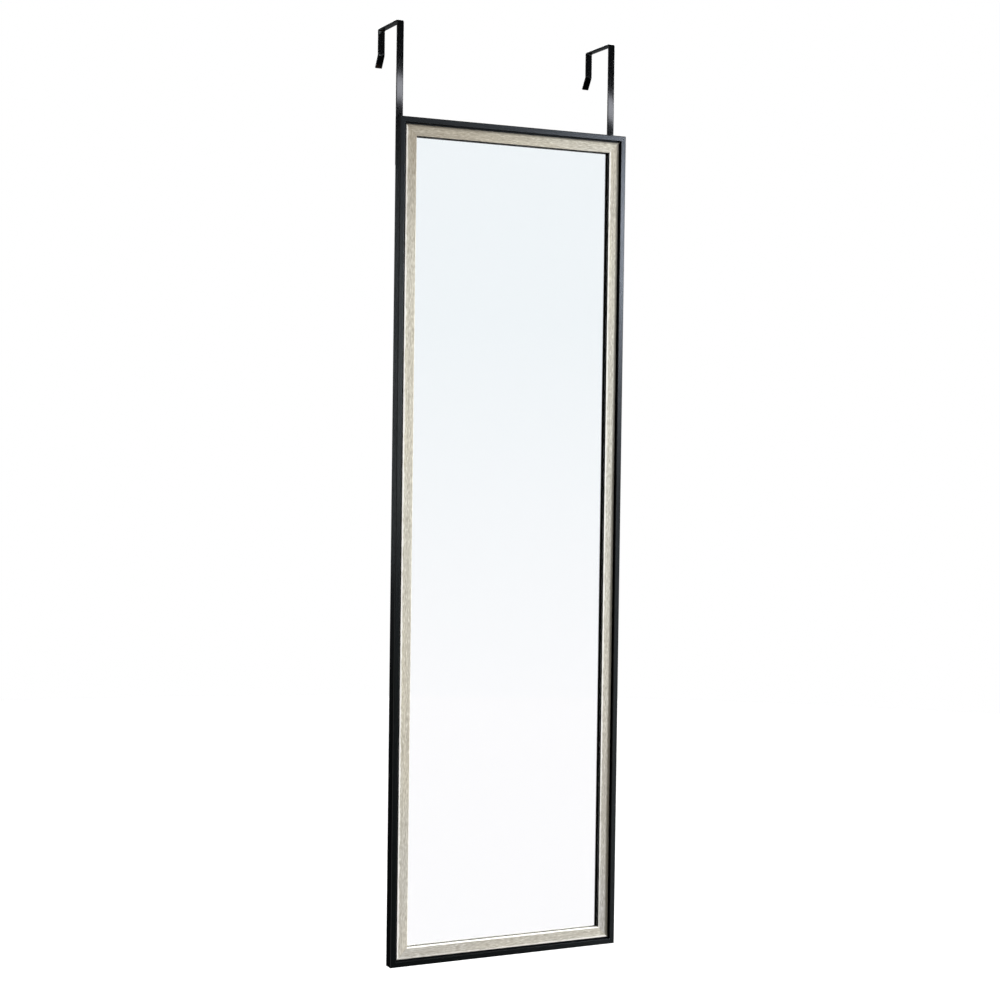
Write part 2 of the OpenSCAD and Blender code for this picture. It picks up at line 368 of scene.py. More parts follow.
# %% Make the black moulding's finish
def make_black_moulding():
    material, tree, shader, position = new_finish("black_moulding_satin", Specular_IOR_Level=0.5)
    section = use_group(tree, section_group, Position=position)
    across, depth, along = section["Across"], section["Depth"], section["Along"]
    skin = maths(tree, "ADD", across, depth)
    bands = use_group(tree, grain_group, Along=along, Across=skin, Streak_Length=110 * MM,
                      Streak_Width=2.4 * MM, Wander=1.5 * MM, Layer=1.0)["Streaks"]
    hairs = use_group(tree, grain_group, Along=along, Across=skin, Streak_Length=9 * MM,
                      Streak_Width=0.25 * MM, Wander=0.2 * MM, Layer=2.0)["Streaks"]
    specks = use_group(tree, speck_group, Position=position, Speck_Size=0.8 * MM,
                       Cover=0.05)["Mask"]
    rub = use_group(tree, wear_and_highlight_group, Position=position, Distance=across, Reach=0.8 * MM,
                    Breakup=9 * MM)["Mask"]
    tone = mix_colours(tree, remap(tree, bands, 0.35, 0.65), colour(6, 9, 9), colour(12, 15, 15))
    tone = mix_colours(tree, product(tree, specks, 0.2), tone, colour(58, 62, 64))
    tone = mix_colours(tree, product(tree, rub, 0.08), tone, colour(52, 56, 58))
    hairline = mitre_hairline(tree, section, 0.22 * MM)
    tone = mix_colours(tree, product(tree, hairline, 0.8), tone, colour(3, 4, 4))
    feed(tree, shader.inputs["Base Color"], tone)
    feed(tree, shader.inputs["Roughness"], remap(tree, bands, 0.3, 0.7, 0.31, 0.25))
    relief = maths(tree, "SUBTRACT", hairs, hairline)
    bump(tree, shader, relief, 0.03 * MM, 0.6)
    return material


MOULDINGS = ("top_rail", "bottom_rail", "left_stile", "right_stile")
dress(make_black_moulding(), *MOULDINGS)


# %% [markdown]
# ## The wood-look trim
# The trim is wrapped in a pale foil printed with a greige wood grain. A single noise never
# looks like wood, so the print is built as a printer would, from layers of several scales:
# a slow drift from warm to grey, broad bands, fine streaks, short flecks, and pores.
# Streaks and flecks are each printed twice, once darker and once paler than the ground.

# %% Print the wood grain
PRINT_LAYERS = {
    "bands": dict(Streak_Length=160 * MM, Streak_Width=5 * MM, Wander=4 * MM, Layer=3.0),
    "drift": dict(Streak_Length=350 * MM, Streak_Width=60 * MM, Wander=0.0, Layer=4.0),
    "streaks": dict(Streak_Length=45 * MM, Streak_Width=1.1 * MM, Wander=1.6 * MM, Layer=5.0),
    "flecks": dict(Streak_Length=8 * MM, Streak_Width=1.3 * MM, Wander=0.8 * MM, Layer=9.0),
    "pores": dict(Streak_Length=6 * MM, Streak_Width=0.22 * MM, Wander=0.4 * MM, Layer=6.0),
}
# Each ink has its layer, the noise at which it starts and is full, its density and colour.
INKS = {
    "dark streaks": ("streaks", 0.50, 0.68, 0.55, colour(158, 151, 135)),
    "pale streaks": ("streaks", 0.46, 0.30, 0.50, colour(222, 217, 203)),
    "dark flecks": ("flecks", 0.50, 0.64, 0.70, colour(162, 154, 138)),
    "pale flecks": ("flecks", 0.46, 0.34, 0.65, colour(236, 232, 220)),
    "pores": ("pores", 0.60, 0.72, 0.45, colour(128, 120, 104)),
}


def print_grain(tree, section):
    """The print's colour, its layers of noise, and the mask of each ink."""
    wrap = maths(tree, "ADD", section["Across"], section["Depth"])
    layers = {name: use_group(tree, grain_group, Along=section["Along"], Across=wrap,
                              **sizes)["Streaks"]
              for name, sizes in PRINT_LAYERS.items()}
    warm, grey, band = colour(209, 202, 183), colour(204, 201, 190), colour(184, 177, 163)
    tone = mix_colours(tree, remap(tree, layers["drift"], 0.4, 0.6), warm, grey)
    tone = mix_colours(tree, remap(tree, layers["bands"], 0.38, 0.62, 0.0, 0.6), tone, band)
    inked = {}
    for name, (layer, begins, full, density, ink) in INKS.items():
        inked[name] = remap(tree, layers[layer], begins, full, 0.0, density, smooth=True)
        tone = mix_colours(tree, inked[name], tone, ink)
    return tone, layers, inked


print("print layers:", ", ".join(PRINT_LAYERS), "- inks:", ", ".join(INKS))

# %% [markdown]
# ### Painted light and shade over the frame
# The four lengths are painted lighter and darker, as light falls on them unevenly. The top
# left has painted shade and is a little browner, the stiles have painted light high up and
# so do the rails towards the right, and low down the tone has painted shade and turns greyer.
# Three wide, soft masks do this. They are laid out in shares of the frame's width and height, so
# that they would fit another size of frame.

# %% Paint light and shade over the frame
def place_on_frame(tree, position):
    """How far right a point is, from -1 to 1, and how far down, from 0 to 1."""
    x, _, z = add(tree, "SeparateXYZ", Vector=position).outputs
    below_top = maths(tree, "SUBTRACT", frame_high.z, z)
    return (maths(tree, "DIVIDE", x, half_width),
            maths(tree, "DIVIDE", below_top, 2 * half_height))


def paint_light_and_shade(tree, rightward, downward, number, tone):
    """Paints shade at the top left and low down, where the tone also turns greyer, and paints
    light high on the stiles and towards the right on the rails.
    """
    on_stile = maths(tree, "LESS_THAN", number, (RIGHT_LENGTH + BOTTOM_LENGTH) / 2)
    on_rail = maths(tree, "SUBTRACT", 1.0, on_stile)
    # painted shade at the top left, a little browner
    dull = product(tree, remap(tree, downward, 0.2, 0.0),
                   remap(tree, rightward, 0.6, -1.0, 0.0, 0.95))
    shaded_low_stiles = product(tree, on_stile, remap(tree, rightward, -0.55, 0.55, 0.4, 1.0),
                         remap(tree, downward, 0.5, 1.0, 0.0, 0.8, smooth=True))
    shaded_low_rail = product(tree, is_length(tree, number, BOTTOM_LENGTH),
                       remap(tree, rightward, -1.0, 1.0, 0.4, 0.0))
    lit_high_stiles = product(tree, on_stile, remap(tree, rightward, -0.55, 0.55, 0.8, 0.95),
                          remap(tree, downward, 0.035, 0.183, smooth=True),
                          remap(tree, downward, 0.38, 0.79, 1.0, 0.3, smooth=True))
    rails = product(tree, on_rail, remap(tree, number, BOTTOM_LENGTH, TOP_LENGTH, 0.35, 0.75),
                    remap(tree, rightward, -0.55, 0.82))
    # painted shade at the top left and low down, where the tone also turns greyer; painted light
    # high on the stiles and towards the right on the rails
    shifts = (
        (dull, (0.635, 0.597, 0.55, 1.0)),
        (maths(tree, "ADD", shaded_low_rail, shaded_low_stiles), (0.80, 0.815, 0.91, 1.0)),
        (maths(tree, "ADD", lit_high_stiles, rails), (1.15, 1.175, 1.19, 1.0)),
    )
    for mask, factor in shifts:
        tone = mix_colours(tree, mask, tone, factor, "MULTIPLY")
    return tone


print("the frame's height that the tone shifts over:", round(2 * half_height, 3), "m")

# %% [markdown]
# ### Its painted edge highlights
# The foil is painted paler where it turns an edge, as a painted highlight: on the shoulder
# at the left and the bottom, and on the inner bevel at the right and the bottom. Each mask
# is the shared edge mask, laid along one line of the section and kept to its own lengths.

# %% Paint highlights on the edges
SHOULDER = groove_end + 1.4 * MM
BEVEL = trim_end - 1.1 * MM
HIGHLIGHT_BREAKUP = 14 * MM


def paint_shoulder_highlight(tree, position, across, rightward, downward, number):
    """A mask for the painted highlight on the shoulder at the left and the bottom."""
    highlight_mask = use_group(tree, wear_and_highlight_group, Position=position, Reach=2.9 * MM, Breakup=HIGHLIGHT_BREAKUP,
                     Distance=maths(tree, "SUBTRACT", across, SHOULDER))["Mask"]
    left = product(tree, is_length(tree, number, LEFT_LENGTH),
                   remap(tree, downward, 0.117, 0.216, 0.7, 1.0))
    bottom = product(tree, is_length(tree, number, BOTTOM_LENGTH),
                     remap(tree, rightward, -0.82, 0.82, 0.3, 1.0))
    return product(tree, highlight_mask, maths(tree, "ADD", left, bottom))


def paint_bevel_highlight(tree, position, across, depth, downward, number):
    """A mask for the painted highlight on the inner bevel at the right, where it is wider, and
    the bottom.
    """
    on_right = is_length(tree, number, RIGHT_LENGTH)
    middle = maths(tree, "MULTIPLY_ADD", on_right, -0.7 * MM, BEVEL)
    reach = maths(tree, "MULTIPLY_ADD", on_right, 1.1 * MM, 1.3 * MM)
    slope = maths(tree, "SUBTRACT", across, maths(tree, "SUBTRACT", depth, trim_face))
    highlight_mask = use_group(tree, wear_and_highlight_group, Position=position, Reach=reach, Breakup=HIGHLIGHT_BREAKUP,
                     Distance=maths(tree, "SUBTRACT", slope, middle))["Mask"]
    right = product(tree, on_right, remap(tree, downward, 0.748, 0.953, 1.0, 0.4))
    bottom = is_length(tree, number, BOTTOM_LENGTH)
    return product(tree, highlight_mask, maths(tree, "ADD", right, bottom))


print(f"shoulder {SHOULDER / MM:.1f} mm and bevel {BEVEL / MM:.1f} mm in from the outside")

# %% [markdown]
# ### Its painted shade
# At the top and on the right the foil is painted darker beside the groove, as the lip's
# shadow. The groove itself is stained black, and the inner wall below the bevel has
# painted shade on those two lengths.

# %% Paint the lip's shadow and the shade on the wall
def paint_lip_shadow(tree, across, downward, number, tone):
    """Paints the lip's shadow on the foil beside the groove, wider on the right than at the top.
    """
    shadow_at_top = remap(tree, across, groove_end, groove_end + 4.5 * MM, 0.6, 0.0, smooth=True)
    wider = remap(tree, downward, 0.216, 0.871, 0.0, 1.6 * MM)
    shadow_at_right = remap(tree, maths(tree, "SUBTRACT", across, wider), groove_end + 1.5 * MM,
                        groove_end + 5.5 * MM, 0.85, 0.0, smooth=True)
    lip_shadow_mask = maths(tree, "ADD", product(tree, shadow_at_top, is_length(tree, number, TOP_LENGTH)),
                   product(tree, shadow_at_right, is_length(tree, number, RIGHT_LENGTH)))
    return mix_colours(tree, lip_shadow_mask, tone, colour(88, 82, 68))


def paint_wall_shade_and_black_groove(tree, across, depth, number, tone):
    """Paints shade on the inner wall at the top and on the right, and blackens the groove."""
    below_bevel = maths(tree, "GREATER_THAN", depth, trim_face + 0.3 * MM)
    inside = maths(tree, "GREATER_THAN", across, trim_end - 2 * MM)
    on_two = maths(tree, "ADD", is_length(tree, number, TOP_LENGTH),
                   is_length(tree, number, RIGHT_LENGTH))
    wall = product(tree, below_bevel, inside, on_two)
    # painted shade on the inner wall at the top and on the right
    tone = mix_colours(tree, wall, tone, colour(36, 34, 30))
    groove = remap(tree, across, groove_end, groove_end + 0.3 * MM, 1.0, 0.0, smooth=True)
    return mix_colours(tree, groove, tone, colour(14, 14, 13))


print(f"the groove is {GROOVE / MM:.1f} mm wide and ends {groove_end / MM:.1f} mm in")

# %% [markdown]
# ### The finish as a whole
# The print comes first, then its painted light and shade, the lip's painted shadow, the painted
# edge highlights and the painted shade on the inner wall. The print leaves a slight relief:
# dark streaks and pores lie a little deeper, and so does the hairline at each mitre.

# %% Make the trim's finish
def make_wood_look_foil():
    material, tree, shader, position = new_finish("wood_look_foil", Specular_IOR_Level=0.35)
    section = use_group(tree, section_group, Position=position)
    across, depth, number = section["Across"], section["Depth"], section["Length Number"]
    rightward, downward = place_on_frame(tree, position)
    tone, layers, inked = print_grain(tree, section)
    # painted light and shade over the frame
    tone = paint_light_and_shade(tree, rightward, downward, number, tone)
    # painted shadow of the lip beside the groove
    tone = paint_lip_shadow(tree, across, downward, number, tone)
    # painted highlights on the shoulder and the inner bevel
    highlight_mask = maths(tree, "MAXIMUM",
                 paint_shoulder_highlight(tree, position, across, rightward, downward, number),
                 paint_bevel_highlight(tree, position, across, depth, downward, number))
    tone = mix_colours(tree, highlight_mask, tone, colour(255, 253, 246))
    hairline = mitre_hairline(tree, section, 0.25 * MM)
    tone = mix_colours(tree, product(tree, hairline, 0.25), tone, colour(96, 88, 74))
    # painted shade on the inner wall; the groove's black is its own colour
    tone = paint_wall_shade_and_black_groove(tree, across, depth, number, tone)
    feed(tree, shader.inputs["Base Color"], tone)
    feed(tree, shader.inputs["Roughness"], remap(tree, layers["streaks"], 0.3, 0.7, 0.46, 0.60))
    streak_relief = product(tree, inked["dark streaks"], -0.5)
    relief = maths(tree, "SUBTRACT", streak_relief, inked["pores"])
    bump(tree, shader, maths(tree, "SUBTRACT", relief, hairline), 0.05 * MM, 0.7)
    return material


dress(make_wood_look_foil(), "trim_top", "trim_bottom", "trim_left", "trim_right")


# %% [markdown]
# ## The glass and its silver
# A mirror is a sheet of clear glass with a silver coat on its back, so the reflection
# lies 3 mm behind the surface that a hand can touch. That depth shows as a thin band
# beside the trim. The glass gets a real transmission shader with the faint green of float
# glass, and the silver coat behind it is the metal that reflects. The coat's back is
# covered with grey paint, so its finish changes on the faces that look away from the glass.

# %% Make the glass and the silver
def make_clear_glass():
    material, tree, shader, position = new_finish(
        "clear_float_glass", Roughness=0.0, IOR=1.52, Transmission_Weight=1.0)
    specks = use_group(tree, speck_group, Position=position, Speck_Size=2.5 * MM,
                       Cover=0.02)["Mask"]
    clear_green, dusty = (0.985, 0.997, 0.992, 1.0), (0.90, 0.91, 0.90, 1.0)
    tone = mix_colours(tree, product(tree, specks, 0.06), clear_green, dusty)
    feed(tree, shader.inputs["Base Color"], tone)
    return material


def make_silver_coat():
    material, tree, shader, position = new_finish("silver_coat")
    low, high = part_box("silvering")
    y = add(tree, "SeparateXYZ", Vector=position).outputs[1]
    outside = maths(tree, "SUBTRACT", 1.0, add(tree, "NewGeometry").outputs["Backfacing"])
    rear_half = maths(tree, "GREATER_THAN", y, (low.y + high.y) / 2)
    painted = product(tree, outside, rear_half)
    brushed = add(tree, "TexNoise", Vector=position, Scale=260.0, Detail=4.0).outputs[0]
    paint = mix_colours(tree, brushed, colour(120, 124, 126), colour(150, 153, 154))
    silver = (0.97, 0.975, 0.98, 1.0)
    feed(tree, shader.inputs["Base Color"], mix_colours(tree, painted, silver, paint))
    feed(tree, shader.inputs["Metallic"], maths(tree, "SUBTRACT", 1.0, painted))
    feed(tree, shader.inputs["Roughness"], product(tree, painted, 0.6))
    return material


dress(make_silver_coat(), "silvering")

# %% [markdown]
# ### The sheet of glass
# Cut glass has its sharp edges ground off, or it would chip in the rabbet. The silver is
# drawn as a sheet of its own, and two surfaces in exactly the same place would confuse the
# renderer, so the new sheet of glass also stops a hair in front of the silver.

# %% Grind the glass
ARRIS = 0.4 * MM
HAIR = 0.02 * MM


def grind_glass():
    """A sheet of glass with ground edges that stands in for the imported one."""
    low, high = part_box("mirror_glass")
    high = Vector((high.x, high.y - HAIR, high.z))
    shape = bmesh.new()
    bmesh.ops.create_cube(shape, size=1.0)
    for corner in shape.verts:
        corner.co = [a + (b - a) * (c + 0.5) for a, b, c in zip(low, high, corner.co)]
    bmesh.ops.bevel(shape, geom=shape.edges[:], offset=ARRIS, segments=1, affect="EDGES")
    mesh = bpy.data.meshes.new("ground_glass")
    shape.to_mesh(mesh)
    shape.free()
    mesh.materials.append(make_clear_glass())
    glass = bpy.data.objects.new("ground_glass", mesh)
    bpy.context.scene.collection.objects.link(glass)
    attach(glass, "root")
    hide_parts("mirror_glass")
    return glass


print("glass faces:", len(grind_glass().data.polygons))


# %% [markdown]
# ## The pack behind the glass
# Behind the silver lie a thin foam sheet and a hardboard back, and only the board shows.
# Hardboard is pressed wood fibre: brown and mottled, with darker fibres in it, and the
# print of a wire screen on its rough side. The print is two sets of fine ribs that cross.

# %% Make the foam and the hardboard
SCREEN_PITCH = 1.4 * MM


def make_foam_paper():
    material, tree, shader, position = new_finish("white_foam_paper", Roughness=0.9)
    cells = use_group(tree, speck_group, Position=position, Speck_Size=1.2 * MM,
                      Cover=0.6)["Mask"]
    feed(tree, shader.inputs["Base Color"],
         mix_colours(tree, cells, colour(236, 236, 232), colour(214, 214, 209)))
    bump(tree, shader, cells, 0.1 * MM)
    return material


def make_hardboard():
    material, tree, shader, position = new_finish("brown_hardboard", Specular_IOR_Level=0.25)
    x, _, z = add(tree, "SeparateXYZ", Vector=position).outputs
    clouds = add(tree, "TexNoise", Vector=position, Scale=22.0, Detail=5.0).outputs[0]
    fibres = use_group(tree, grain_group, Along=x, Across=z, Streak_Length=5 * MM,
                       Streak_Width=0.7 * MM, Wander=9 * MM, Layer=7.0)["Streaks"]
    specks = use_group(tree, speck_group, Position=position, Speck_Size=2.2 * MM,
                       Cover=0.12)["Mask"]
    brown, pale_brown = colour(136, 100, 68), colour(158, 121, 86)
    tone = mix_colours(tree, remap(tree, clouds, 0.35, 0.65), brown, pale_brown)
    tone = mix_colours(tree, remap(tree, fibres, 0.5, 0.7, 0.0, 0.5), tone, colour(101, 70, 45))
    tone = mix_colours(tree, product(tree, specks, 0.6), tone, colour(84, 58, 38))
    ribs = [maths(tree, "SINE", product(tree, side, 2 * pi / SCREEN_PITCH)) for side in (x, z)]
    screen = product(tree, *ribs)
    feed(tree, shader.inputs["Base Color"], tone)
    feed(tree, shader.inputs["Roughness"], remap(tree, clouds, 0.3, 0.7, 0.62, 0.8))
    bump(tree, shader, maths(tree, "ADD", screen, fibres), 0.08 * MM, 0.6)
    return material


dress(make_foam_paper(), "padding_sheet")
dress(make_hardboard(), "backing_board")


# %% [markdown]
# ## Screws, points and corner nails
# The small hardware is zinc-plated steel. New zinc is pale and bluish, with a slightly
# cloudy sheen and fine drag marks from the tool that stamped it. Cloudiness goes into the
# roughness, so that each piece catches the light a little differently.

# %% Make the zinc finish
def make_zinc():
    material, tree, shader, position = new_finish("zinc_plated_steel", Metallic=1.0)
    x, y, z = add(tree, "SeparateXYZ", Vector=position).outputs
    clouds = add(tree, "TexNoise", Vector=position, Scale=420.0, Detail=4.0).outputs[0]
    drag = use_group(tree, grain_group, Along=maths(tree, "ADD", x, y), Across=z,
                     Streak_Length=6 * MM, Streak_Width=0.12 * MM, Wander=0.0,
                     Layer=8.0)["Streaks"]
    bright, dull = colour(196, 199, 203), colour(176, 180, 186)
    feed(tree, shader.inputs["Base Color"],
         mix_colours(tree, remap(tree, clouds, 0.35, 0.65), bright, dull))
    feed(tree, shader.inputs["Roughness"], remap(tree, clouds, 0.3, 0.7, 0.28, 0.46))
    bump(tree, shader, drag, 0.02 * MM, 0.5)
    return material


dress(make_zinc(), "framers_points", "corner_v_nails", "hook_screws")


# %% [markdown]
# ## The bumper pads
# Two soft pads at the bottom keep the frame off the door. Moulded rubber is matt, with a
# light bloom on it and small pits.

# %% Make the rubber
def make_pad_rubber():
    material, tree, shader, position = new_finish("pad_rubber", Specular_IOR_Level=0.3)
    bloom = add(tree, "TexNoise", Vector=position, Scale=350.0, Detail=3.0).outputs[0]
    pits = use_group(tree, speck_group, Position=position, Speck_Size=0.6 * MM,
                     Cover=0.25)["Mask"]
    dark, bloomed = colour(44, 44, 46), colour(66, 66, 68)
    feed(tree, shader.inputs["Base Color"],
         mix_colours(tree, remap(tree, bloom, 0.35, 0.65), dark, bloomed))
    feed(tree, shader.inputs["Roughness"], remap(tree, bloom, 0.3, 0.7, 0.7, 0.85))
    bump(tree, shader, product(tree, pits, -1.0), 0.05 * MM, 0.5)
    return material


dress(make_pad_rubber(), "bumper_pads")


# %% [markdown]
# ## The door straps
# Each hook is one flat strap of steel, bent over the door and powder-coated black. Flat
# bar is rolled, so its long edges are never sharp, and the coat rounds them further. That
# rounding is why the strap shows a highlight down its middle with a dark line on each
# side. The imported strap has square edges, so a copy of it is made with a bevel along
# them, and the copy stands in for it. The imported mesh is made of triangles, so the copy
# is first cleaned up until its flat faces are whole again and its long edges can be found.

# %% Soften the straps' edges
EDGE_ROUND = 1.1 * MM
SAME_PLACE, NEAR = 0.001 * MM, 0.01 * MM
FLAT, SQUARE, CREASE = radians(0.5), radians(60), radians(30)


def long_edges_of(shape, sides):
    """The square edges that run along a strap's two sides."""
    return [
        edge for edge in shape.edges
        if edge.is_manifold and edge.calc_face_angle(0.0) > SQUARE
        and any(all(abs(v.co.x - side) < NEAR for v in edge.verts) for side in sides)
    ]


def soften_strap(node_name):
    """A copy of a packed strap with its long edges rounded."""
    low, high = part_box(node_name)
    shape = bmesh.new()
    shape.from_mesh(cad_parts[node_name].data)
    bmesh.ops.remove_doubles(shape, verts=shape.verts, dist=SAME_PLACE)
    bmesh.ops.dissolve_limit(shape, angle_limit=FLAT, verts=shape.verts, edges=shape.edges)
    long_edges = long_edges_of(shape, (low.x, high.x))
    bmesh.ops.bevel(shape, geom=long_edges, offset=EDGE_ROUND, segments=4, profile=0.5,
                    affect="EDGES", clamp_overlap=True)
    mesh = bpy.data.meshes.new(node_name + "_strap")
    shape.to_mesh(mesh)
    shape.free()
    mesh.shade_smooth()
    mesh.set_sharp_from_angle(angle=CREASE)
    strap = bpy.data.objects.new(node_name + "_strap", mesh)
    bpy.context.scene.collection.objects.link(strap)
    strap.modifiers.new("even_shading", "WEIGHTED_NORMAL").keep_sharp = True
    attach(strap, "root")
    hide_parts(node_name)
    print(strap.name, "has", len(mesh.polygons), "faces,", len(long_edges), "edges were rounded")
    return strap


straps = [soften_strap(name) for name in ("left_hook", "right_hook")]


# %% [markdown]
# ### The powder coat
# Powder coat flows into a skin with a slight orange peel, glossier than the moulding. It
# wears first along the edges, where it is thinnest. The distance to an edge is measured
# from the middle of whichever strap the point is on.

# %% Make the straps' finish
def make_powder_coat():
    material, tree, shader, position = new_finish("black_powder_coat", Specular_IOR_Level=0.8)
    boxes = [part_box(name) for name in ("left_hook", "right_hook")]
    middles = [(low.x + high.x) / 2 for low, high in boxes]
    half = (boxes[0][1].x - boxes[0][0].x) / 2
    x = add(tree, "SeparateXYZ", Vector=position).outputs[0]
    middle = remap(tree, x, -1 * MM, 1 * MM, *middles)
    from_middle = maths(tree, "ABSOLUTE", maths(tree, "SUBTRACT", x, middle))
    edge = maths(tree, "SUBTRACT", half, from_middle)
    rub = use_group(tree, wear_and_highlight_group, Position=position, Distance=edge, Reach=0.6 * MM,
                    Breakup=7 * MM)["Mask"]
    specks = use_group(tree, speck_group, Position=position, Speck_Size=1.1 * MM,
                       Cover=0.06)["Mask"]
    peel = add(tree, "TexNoise", Vector=position, Scale=900.0, Detail=2.0).outputs[0]
    patches = add(tree, "TexNoise", Vector=position, Scale=70.0, Detail=3.0).outputs[0]
    tone = mix_colours(tree, remap(tree, patches, 0.35, 0.65), colour(5, 6, 7), colour(9, 10, 12))
    tone = mix_colours(tree, product(tree, specks, 0.06), tone, colour(64, 66, 70))
    tone = mix_colours(tree, product(tree, rub, 0.12), tone, colour(44, 46, 48))
    feed(tree, shader.inputs["Base Color"], tone)
    feed(tree, shader.inputs["Roughness"], remap(tree, patches, 0.3, 0.7, 0.052, 0.058))
    bump(tree, shader, peel, 0.01 * MM, 0.02)
    return material


powder_coat = make_powder_coat()
for strap in straps:
    strap.data.materials.append(powder_coat)
print("powder coat on", [strap.name for strap in straps])


# %% [markdown]
# ## The camera
# The camera stands to the left of the mirror and a little above its middle, turned
# towards it, with a long lens. Its three angles are set as a photographer would: the turn
# to the right, the tilt, and the small roll of a hand-held shot.

# %% Set up the camera
CAMERA_AT = Vector((-1.2083, -2.5297, -0.6066))
TURN, TILT, ROLL = radians(25.365), radians(-1.582), radians(0.757)
LENS, SENSOR = 68.3, 36.0
forward = Vector((sin(TURN) * cos(TILT), cos(TURN) * cos(TILT), sin(TILT)))
level = Vector((cos(TURN), -sin(TURN), 0.0))
upright = level.cross(forward)
right = level * cos(ROLL) + upright * sin(ROLL)
up = upright * cos(ROLL) - level * sin(ROLL)

camera = bpy.data.objects.new("camera", bpy.data.cameras.new("camera"))
bpy.context.scene.collection.objects.link(camera)
camera.data.sensor_width = SENSOR
camera.data.lens = LENS
facing = Matrix((right, up, -forward)).transposed().to_4x4()
camera.matrix_world = Matrix.Translation(CAMERA_AT) @ facing
bpy.context.scene.camera = camera
print("camera at", [round(c, 3) for c in CAMERA_AT], "with a lens of", LENS, "mm")


# %% [markdown]
# ## The lights
# The light is that of a small studio. The black pieces show only what they reflect, so
# each sheen in the photo has a lamp of its own. It is placed where the line of sight goes
# after it meets the frame, and it faces the piece squarely, as a photographer places a
# card to put a highlight on a bottle. A lamp is given the brightness that its face shows,
# and its watts follow from that and its area.

# %% Helpers for lamps
def aim(lamp, target):
    """Turns a lamp to face a point."""
    lamp.rotation_mode = "QUATERNION"
    lamp.rotation_quaternion = (Vector(target) - lamp.location).to_track_quat("-Z", "Y")


def along_reflection(point, facing, distance):
    """The place that the camera sees reflected at a point of a flat face."""
    sight = (Vector(point) - CAMERA_AT).normalized()
    bounced = sight - 2 * sight.dot(Vector(facing)) * Vector(facing)
    return Vector(point) + bounced * distance


def softbox(name, place, size, radiance, target):
    """A rectangular lamp that glows evenly and that the camera doesn't see."""
    data = bpy.data.lights.new(name, "AREA")
    data.shape = "RECTANGLE"
    data.size, data.size_y = size
    data.energy = radiance * pi * data.size * data.size_y
    lamp = bpy.data.objects.new(name, data)
    bpy.context.scene.collection.objects.link(lamp)
    lamp.location = place
    lamp.visible_camera = False
    lamp.visible_transmission = False
    aim(lamp, target)
    print(f"{name}: {data.energy:.1f} W")
    return lamp


def sheen_card(name, point, facing, distance, size, radiance, tint=(0.86, 0.94, 1.0)):
    """A tinted lamp that shows only in reflections, where the camera looks for it."""
    place = along_reflection(point, facing, distance)
    lamp = softbox(name, place, size, radiance, place - Vector(facing))
    lamp.data.color = tint
    lamp.visible_diffuse = False
    return lamp


def light_only(lamp, pieces):
    """Links a lamp to the only pieces that it may light."""
    receivers = bpy.data.collections.new(lamp.name + "_receivers")
    for piece in pieces:
        receivers.objects.link(piece)
    lamp.light_linking.receiver_collection = receivers


FRONT, LEFT = (0, -1, 0), (-1, 0, 0)
seen_there = along_reflection((0, front_y, middle_z), FRONT, 2.0)
print("the frame's middle reflects what is near", [round(c, 2) for c in seen_there])


# %% [markdown]
# ### The key light
# One broad key light comes from the upper right. It puts the lip's soft shadow on the trim
# at the top and on the right, and brightens the bevel at the bottom. It is a wide sun,
# because a sun lights the whole height of the mirror alike. It is left out of reflections,
# where it would be a bright disc.

# %% Place the key light
KEY_FROM = (0.675, -0.45, 0.585)
KEY_STRENGTH, KEY_SPREAD = 6.55, radians(36)


def place_key_light():
    data = bpy.data.lights.new("key", "SUN")
    data.energy = KEY_STRENGTH
    data.angle = KEY_SPREAD
    key = bpy.data.objects.new("key", data)
    bpy.context.scene.collection.objects.link(key)
    key.location = KEY_FROM
    key.visible_glossy = False
    aim(key, (0, 0, 0))
    return key


print("key light:", place_key_light().data.energy, "W per square metre")

# %% [markdown]
# ### The cards and the lamp behind
# Each card is named for the sheen that it makes, and its point says where that sheen has
# its middle, in the plane of the face that shows it. The point may lie beside the frame,
# and then only the sheen's soft rim falls on it. Two cards are linked to the pieces that
# they are for: the strip to the straps, and the low card to the black mouldings, so that
# it can't be seen in the glass. A wide lamp high up behind shows the back of the frame to
# whoever looks there.

# %% Place the cards and the lamp behind
strap_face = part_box("left_hook")[0].y
mouldings = [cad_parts[name] for name in MOULDINGS]

sheen_card("corner_sheen", point=(0.370, front_y, -0.269), facing=FRONT, distance=2.4,
           size=(0.5, 0.5), radiance=38.0, tint=(0.78, 0.86, 1.0))
sheen_card("left_sheen", point=(-0.268, front_y, -0.52), facing=FRONT, distance=2.3,
           size=(0.3, 0.6), radiance=4.2, tint=(0.90, 0.98, 1.0))
sheen_card("side_sheen", point=(-half_width, front_y / 2, -0.49), facing=LEFT, distance=2.8,
           size=(0.3, 1.15), radiance=1.65)
low_card = sheen_card("low_sheen", point=(0.355, front_y, -1.10), facing=FRONT, distance=2.4,
                      size=(0.6, 1.5), radiance=1.6)
light_only(low_card, mouldings)
strip = sheen_card("strap_strip", point=(-0.005, strap_face, -0.0945), facing=FRONT, distance=3.4,
                   size=(1.3, 0.075), radiance=5.0, tint=(0.90, 0.92, 1.0))
light_only(strip, straps)
softbox("back_light", place=(1.4, 2.4, 1.3), size=(3.0, 2.0), radiance=4.8,
        target=(0.0, 0.0, middle_z))


# %% [markdown]
# ## The white surroundings
# What a mirror shows is its surroundings, so they matter more here than the lamps. The
# camera and whatever is seen in the mirror get white, very slightly bluer towards the
# top. Rays that only light a surface get a soft grey fill, dimmer from the left and from
# below. Reflections in the black pieces get a dim studio, so that black stays black. It is
# paler far to the left and the right, where a glancing look at an edge ends up, and a
# little paler behind on the right, which gives the back of the frame its form.

